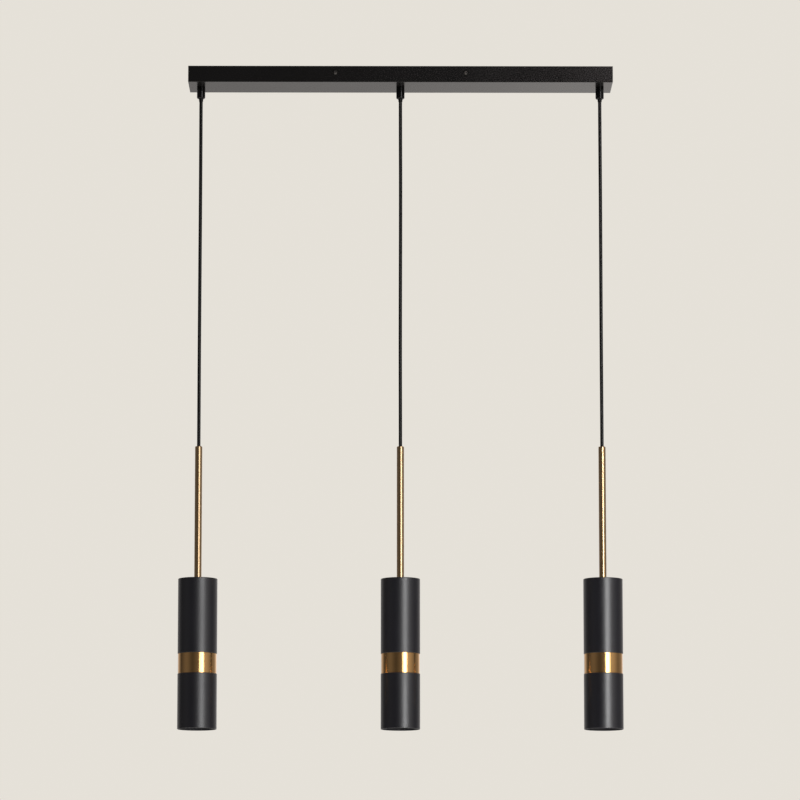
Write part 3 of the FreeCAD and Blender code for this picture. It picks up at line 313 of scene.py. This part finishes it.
def frosted(name, color, roughness):
    """A frosted lens with a fine pebble texture."""
    t = Tree(name)
    pebbles = t.cells(700.0)
    haze = t.noise(120.0, 2.0, 0.5)
    t.set(
        Base_Color=t.mix(haze, shaded(color, 0.95), shaded(color, 1.02)),
        Roughness=t.fit(haze, 0.3, 0.7, roughness - 0.05, roughness + 0.05),
        Normal=t.bump(pebbles, 0.00012),
        Metallic=0.0,
    )
    t.shader.inputs["Transmission Weight"].default_value = 0.45
    t.shader.inputs["IOR"].default_value = 1.49
    return t.material


def striped(name, color, other):
    """The earth core's green with its yellow stripe."""
    t = Tree(name)
    bands = t.noise(1.0, 0.0, 0.5, t.stretched(260.0, 260.0, 260.0))
    fine = t.noise(2200.0, 2.0, 0.6)
    t.set(
        Base_Color=t.mix(t.fit(bands, 0.49, 0.51, 0.0, 1.0), color, other),
        Roughness=t.fit(fine, 0.3, 0.7, 0.38, 0.46),
        Normal=t.bump(fine, 0.000003),
        Metallic=0.0,
    )
    return t.material


MATERIALS = {
    "black_canopy": satin_paint("black_canopy", rgb(0.0082, 0.0076, 0.0076), 0.235, 0.315, inner=rgb(0.045, 0.045, 0.046)),
    "black_shade": satin_paint("black_shade", rgb(0.0002, 0.0002, 0.006), 0.385, 0.92, 1.6, dull_inside=0.75),
    "black_screw": blackened("black_screw", rgb(0.115, 0.11, 0.105), 0.3),
    "zinc_steel": zinc("zinc_steel", rgb(0.6, 0.6, 0.585), 0.3, 2400.0),
    "zinc_screw": zinc("zinc_screw", rgb(0.66, 0.65, 0.62), 0.26, 3600.0),
    "satin_brass": brass("satin_brass", rgb(0.575, 0.37, 0.17), rgb(0.535, 0.34, 0.15), 0.29, "along", 1.0, 1.8, 0.2, 0.0000002),
    "polished_brass": brass("polished_brass", rgb(0.89, 0.52, 0.205), rgb(0.83, 0.47, 0.175), 0.16, "round", 0.6),
    "black_plastic": moulded("black_plastic", rgb(0.003, 0.003, 0.0031), 0.11, 0.32),
    "soft_boot": moulded("soft_boot", rgb(0.005, 0.005, 0.0052), 0.34, 0.22),
    "black_cord": sheath("black_cord", rgb(0.0052, 0.0048, 0.0043), 0.34, 0.3),
    "brown_core": sheath("brown_core", rgb(0.2, 0.075, 0.025), 0.4),
    "blue_core": sheath("blue_core", rgb(0.02, 0.1, 0.42), 0.4),
    "green_core": striped("green_core", rgb(0.05, 0.28, 0.05), rgb(0.75, 0.65, 0.04)),
    "terminal_plastic": moulded("terminal_plastic", rgb(0.78, 0.76, 0.7), 0.42),
    "white_ceramic": glazed("white_ceramic", rgb(0.8, 0.78, 0.71), 0.22),
    "clear_sleeving": sheath("clear_sleeving", rgb(0.74, 0.72, 0.64), 0.45),
    "lamp_housing": moulded("lamp_housing", rgb(0.76, 0.76, 0.74), 0.34),
    "lamp_lens": frosted("lamp_lens", rgb(0.86, 0.87, 0.86), 0.4),
}

for part in frame["record"]["subparts"]:
    item = nodes[part["node"]]
    for place in item.material_slots:
        place.material = MATERIALS[part["material_slot"]]


# ---------------------------------------------------------------- cords


def tube(name, path, radius, sides=20):
    """A closed round tube whose rings follow the path."""
    points = [Vector(p) for p in path]
    made = bmesh.new()
    rings = []
    across = Vector((1.0, 0.0, 0.0))
    for i, p in enumerate(points):
        ahead = (points[min(i + 1, len(points) - 1)] - points[max(i - 1, 0)]).normalized()
        across = (across - ahead * across.dot(ahead)).normalized()
        other = ahead.cross(across)
        rings.append(
            [
                made.verts.new(
                    p
                    + across * radius * math.cos(2 * math.pi * k / sides)
                    + other * radius * math.sin(2 * math.pi * k / sides)
                )
                for k in range(sides)
            ]
        )
    for a, b in zip(rings, rings[1:]):
        for k in range(sides):
            made.faces.new((a[k], a[(k + 1) % sides], b[(k + 1) % sides], b[k]))
    made.faces.new(list(reversed(rings[0])))
    made.faces.new(rings[-1])
    bmesh.ops.recalc_face_normals(made, faces=made.faces)
    mesh = bpy.data.meshes.new(name)
    made.to_mesh(mesh)
    made.free()
    for face in mesh.polygons:
        face.use_smooth = len(face.vertices) == 4
    item = bpy.data.objects.new(name, mesh)
    bpy.context.scene.collection.objects.link(item)
    return item


def along_spline(points, steps):
    """The line of the NURBS spline that has these control points."""
    curve = bpy.data.curves.new("route", "CURVE")
    curve.dimensions = "3D"
    curve.resolution_u = steps
    spline = curve.splines.new("NURBS")
    spline.points.add(len(points) - 1)
    for item, p in zip(spline.points, points):
        item.co = (*p, 1.0)
    spline.order_u = 3
    spline.use_endpoint_u = True
    holder = bpy.data.objects.new("route", curve)
    mesh = bpy.data.meshes.new_from_object(holder)
    line = [tuple(v.co) for v in mesh.vertices]
    bpy.data.meshes.remove(mesh)
    bpy.data.objects.remove(holder)
    bpy.data.curves.remove(curve)
    return line


# Each cord hangs nearly straight: how far its middle wanders to the side and back, in metres.
WANDER = {"left": (0.00018, -0.0002), "middle": (0.0004, 0.00015), "right": (0.00022, 0.0002)}

for side, x in SIDES.items():
    aside, back = WANDER[side]
    route = [
        (x, 0.0, -0.04635),
        (x, 0.0, -0.0855),
        (x + aside, back, -0.22),
        (x - aside * 0.8, -back, -0.44),
        (x, 0.0, -0.594),
        (x, 0.0, -0.65185),
    ]
    line = along_spline(route, 24)
    cord = tube("hanging_cord_sheath_" + side, line, CORD_DIAMETER / 2)
    cord.data.materials.append(MATERIALS["black_cord"])
    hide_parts("cord_" + side)
    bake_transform(cord)


# ---------------------------------------------------------------- studio

MIDDLE = (0.0, 0.0, -0.6)

def panel(name, azimuth, elevation, distance, width, height, radiance, grid=180.0, target=MIDDLE, color=(1.0, 1.0, 1.0)):
    """A softbox round the middle of the lamp. Azimuth 0 is the camera's side, and grows to the right. A grid narrows its beam."""
    light = bpy.data.lights.new(name, "AREA")
    light.shape = "RECTANGLE"
    light.size = width
    light.size_y = height
    light.energy = radiance * math.pi * width * height
    light.spread = math.radians(grid)
    light.color = color
    item = bpy.data.objects.new(name, light)
    a, e = math.radians(azimuth), math.radians(elevation)
    way = Vector((math.sin(a) * math.cos(e), -math.cos(a) * math.cos(e), math.sin(e)))
    item.location = Vector(MIDDLE) + way * distance
    item.rotation_euler = (item.location - Vector(target)).to_track_quat("Z", "Y").to_euler()
    item.visible_camera = False
    bpy.context.scene.collection.objects.link(item)
    return item


panel("key_softbox", 26.0, 3.3, 7.0, 3.4, 2.2, 2.8)
panel("key_middle", 26.0, 3.3, 6.9, 2.2, 2.2, 0.7)
panel("key_head", 27.0, 17.9, 7.0, 1.6, 0.55, 4.5)
panel("key_foot", 25.5, -18.4, 6.9, 1.9, 2.2, 3.5)
panel("near_grid", 27.6, 4.0, 2.4, 0.3, 1.6, 0.74, grid=45.0, target=(0.6, 0.0, -0.6))
panel("canopy_grid", 22.9, 30.5, 2.86, 0.7, 0.5, 0.2, grid=30.0, target=(0.52, 0.0, 0.0), color=(1.0, 0.85, 0.84))

world = bpy.data.worlds.new("studio")
bpy.context.scene.world = world
world.use_nodes = True
wn, wl = world.node_tree.nodes, world.node_tree.links
wn.clear()
out = wn.new("ShaderNodeOutputWorld")
where = wn.new("ShaderNodeTexCoord")
turned = wn.new("ShaderNodeMapping")
turned.inputs["Rotation"].default_value = (0.0, 0.0, math.radians(90.0))
round_about = wn.new("ShaderNodeTexGradient")
round_about.gradient_type = "RADIAL"
wl.new(where.outputs["Generated"], turned.inputs["Vector"])
wl.new(turned.outputs[0], round_about.inputs["Vector"])
ramp = wn.new("ShaderNodeValToRGB")
ramp.color_ramp.interpolation = "EASE"
# The pale backdrop behind the lamp, darker flags at both sides, a weak fill on the left and a wall on the right: azimuth, brightness.
STUDIO = [
    (-180, 0.56), (-172, 0.42), (-160, 0.55), (-148, 0.62), (-132, 0.33), (-110, 0.06), (-65, 0.145), (-25, 0.063), (0, 0.11),
    (50, 0.42), (95, 0.16), (120, 0.24), (150, 0.72), (165, 1.1), (174, 0.98),
]
stops = ramp.color_ramp.elements
while len(stops) > 1:
    stops.remove(stops[-1])
for i, (azimuth, value) in enumerate(STUDIO):
    at = (azimuth + 180.0) / 360.0
    stop = stops[0] if i == 0 else stops.new(at)
    stop.position = at
    stop.color = (value, value, value, 1.0)
last = stops.new(1.0)
last.color = (0.56, 0.56, 0.56, 1.0)
wl.new(round_about.outputs["Fac"], ramp.inputs["Fac"])
warm = wn.new("ShaderNodeMix")
warm.data_type = "RGBA"
warm.blend_type = "MULTIPLY"
warm.inputs["Factor"].default_value = 1.0
wl.new(ramp.outputs["Color"], warm.inputs[6])
warm.inputs[7].default_value = (1.0, 0.955, 0.92, 1.0)
parts_of = wn.new("ShaderNodeSeparateXYZ")
wl.new(where.outputs["Generated"], parts_of.inputs[0])
below = wn.new("ShaderNodeMapRange")
below.interpolation_type = "SMOOTHSTEP"
wl.new(parts_of.outputs["Z"], below.inputs["Value"])
for name, number in (("From Min", -0.9), ("From Max", -0.4), ("To Min", 1.0), ("To Max", 0.0)):
    below.inputs[name].default_value = number
ground = wn.new("ShaderNodeMix")
ground.data_type = "RGBA"
wl.new(below.outputs[0], ground.inputs["Factor"])
wl.new(warm.outputs[2], ground.inputs[6])
ground.inputs[7].default_value = (0.95, 0.91, 0.86, 1.0)
studio_light = wn.new("ShaderNodeBackground")
wl.new(ground.outputs[2], studio_light.inputs["Color"])
backdrop = wn.new("ShaderNodeBackground")
backdrop.inputs["Color"].default_value = PALE
seen = wn.new("ShaderNodeLightPath")
either = wn.new("ShaderNodeMixShader")
wl.new(seen.outputs["Is Camera Ray"], either.inputs["Fac"])
wl.new(studio_light.outputs[0], either.inputs[1])
wl.new(backdrop.outputs[0], either.inputs[2])
wl.new(either.outputs[0], out.inputs["Surface"])

floor_mesh = bpy.data.meshes.new("floor")
made = bmesh.new()
bmesh.ops.create_circle(made, cap_ends=True, radius=90.0, segments=96)
made.to_mesh(floor_mesh)
made.free()
floor = bpy.data.objects.new("floor", floor_mesh)
floor.location = (0.0, 0.0, -9.0)
bpy.context.scene.collection.objects.link(floor)
t = Tree("pale_floor")
t.set(Base_Color=rgb(0.0, 0.0, 0.0), Roughness=1.0, Emission_Color=PALE, Emission_Strength=1.0)
t.shader.inputs["Specular IOR Level"].default_value = 0.0
floor_mesh.materials.append(t.material)
floor.visible_diffuse = floor.visible_glossy = floor.visible_transmission = floor.visible_shadow = False

settings = bpy.context.scene.view_settings
settings.view_transform = "Standard"
settings.look = "None"
settings.exposure = 0.0
settings.gamma = 1.0
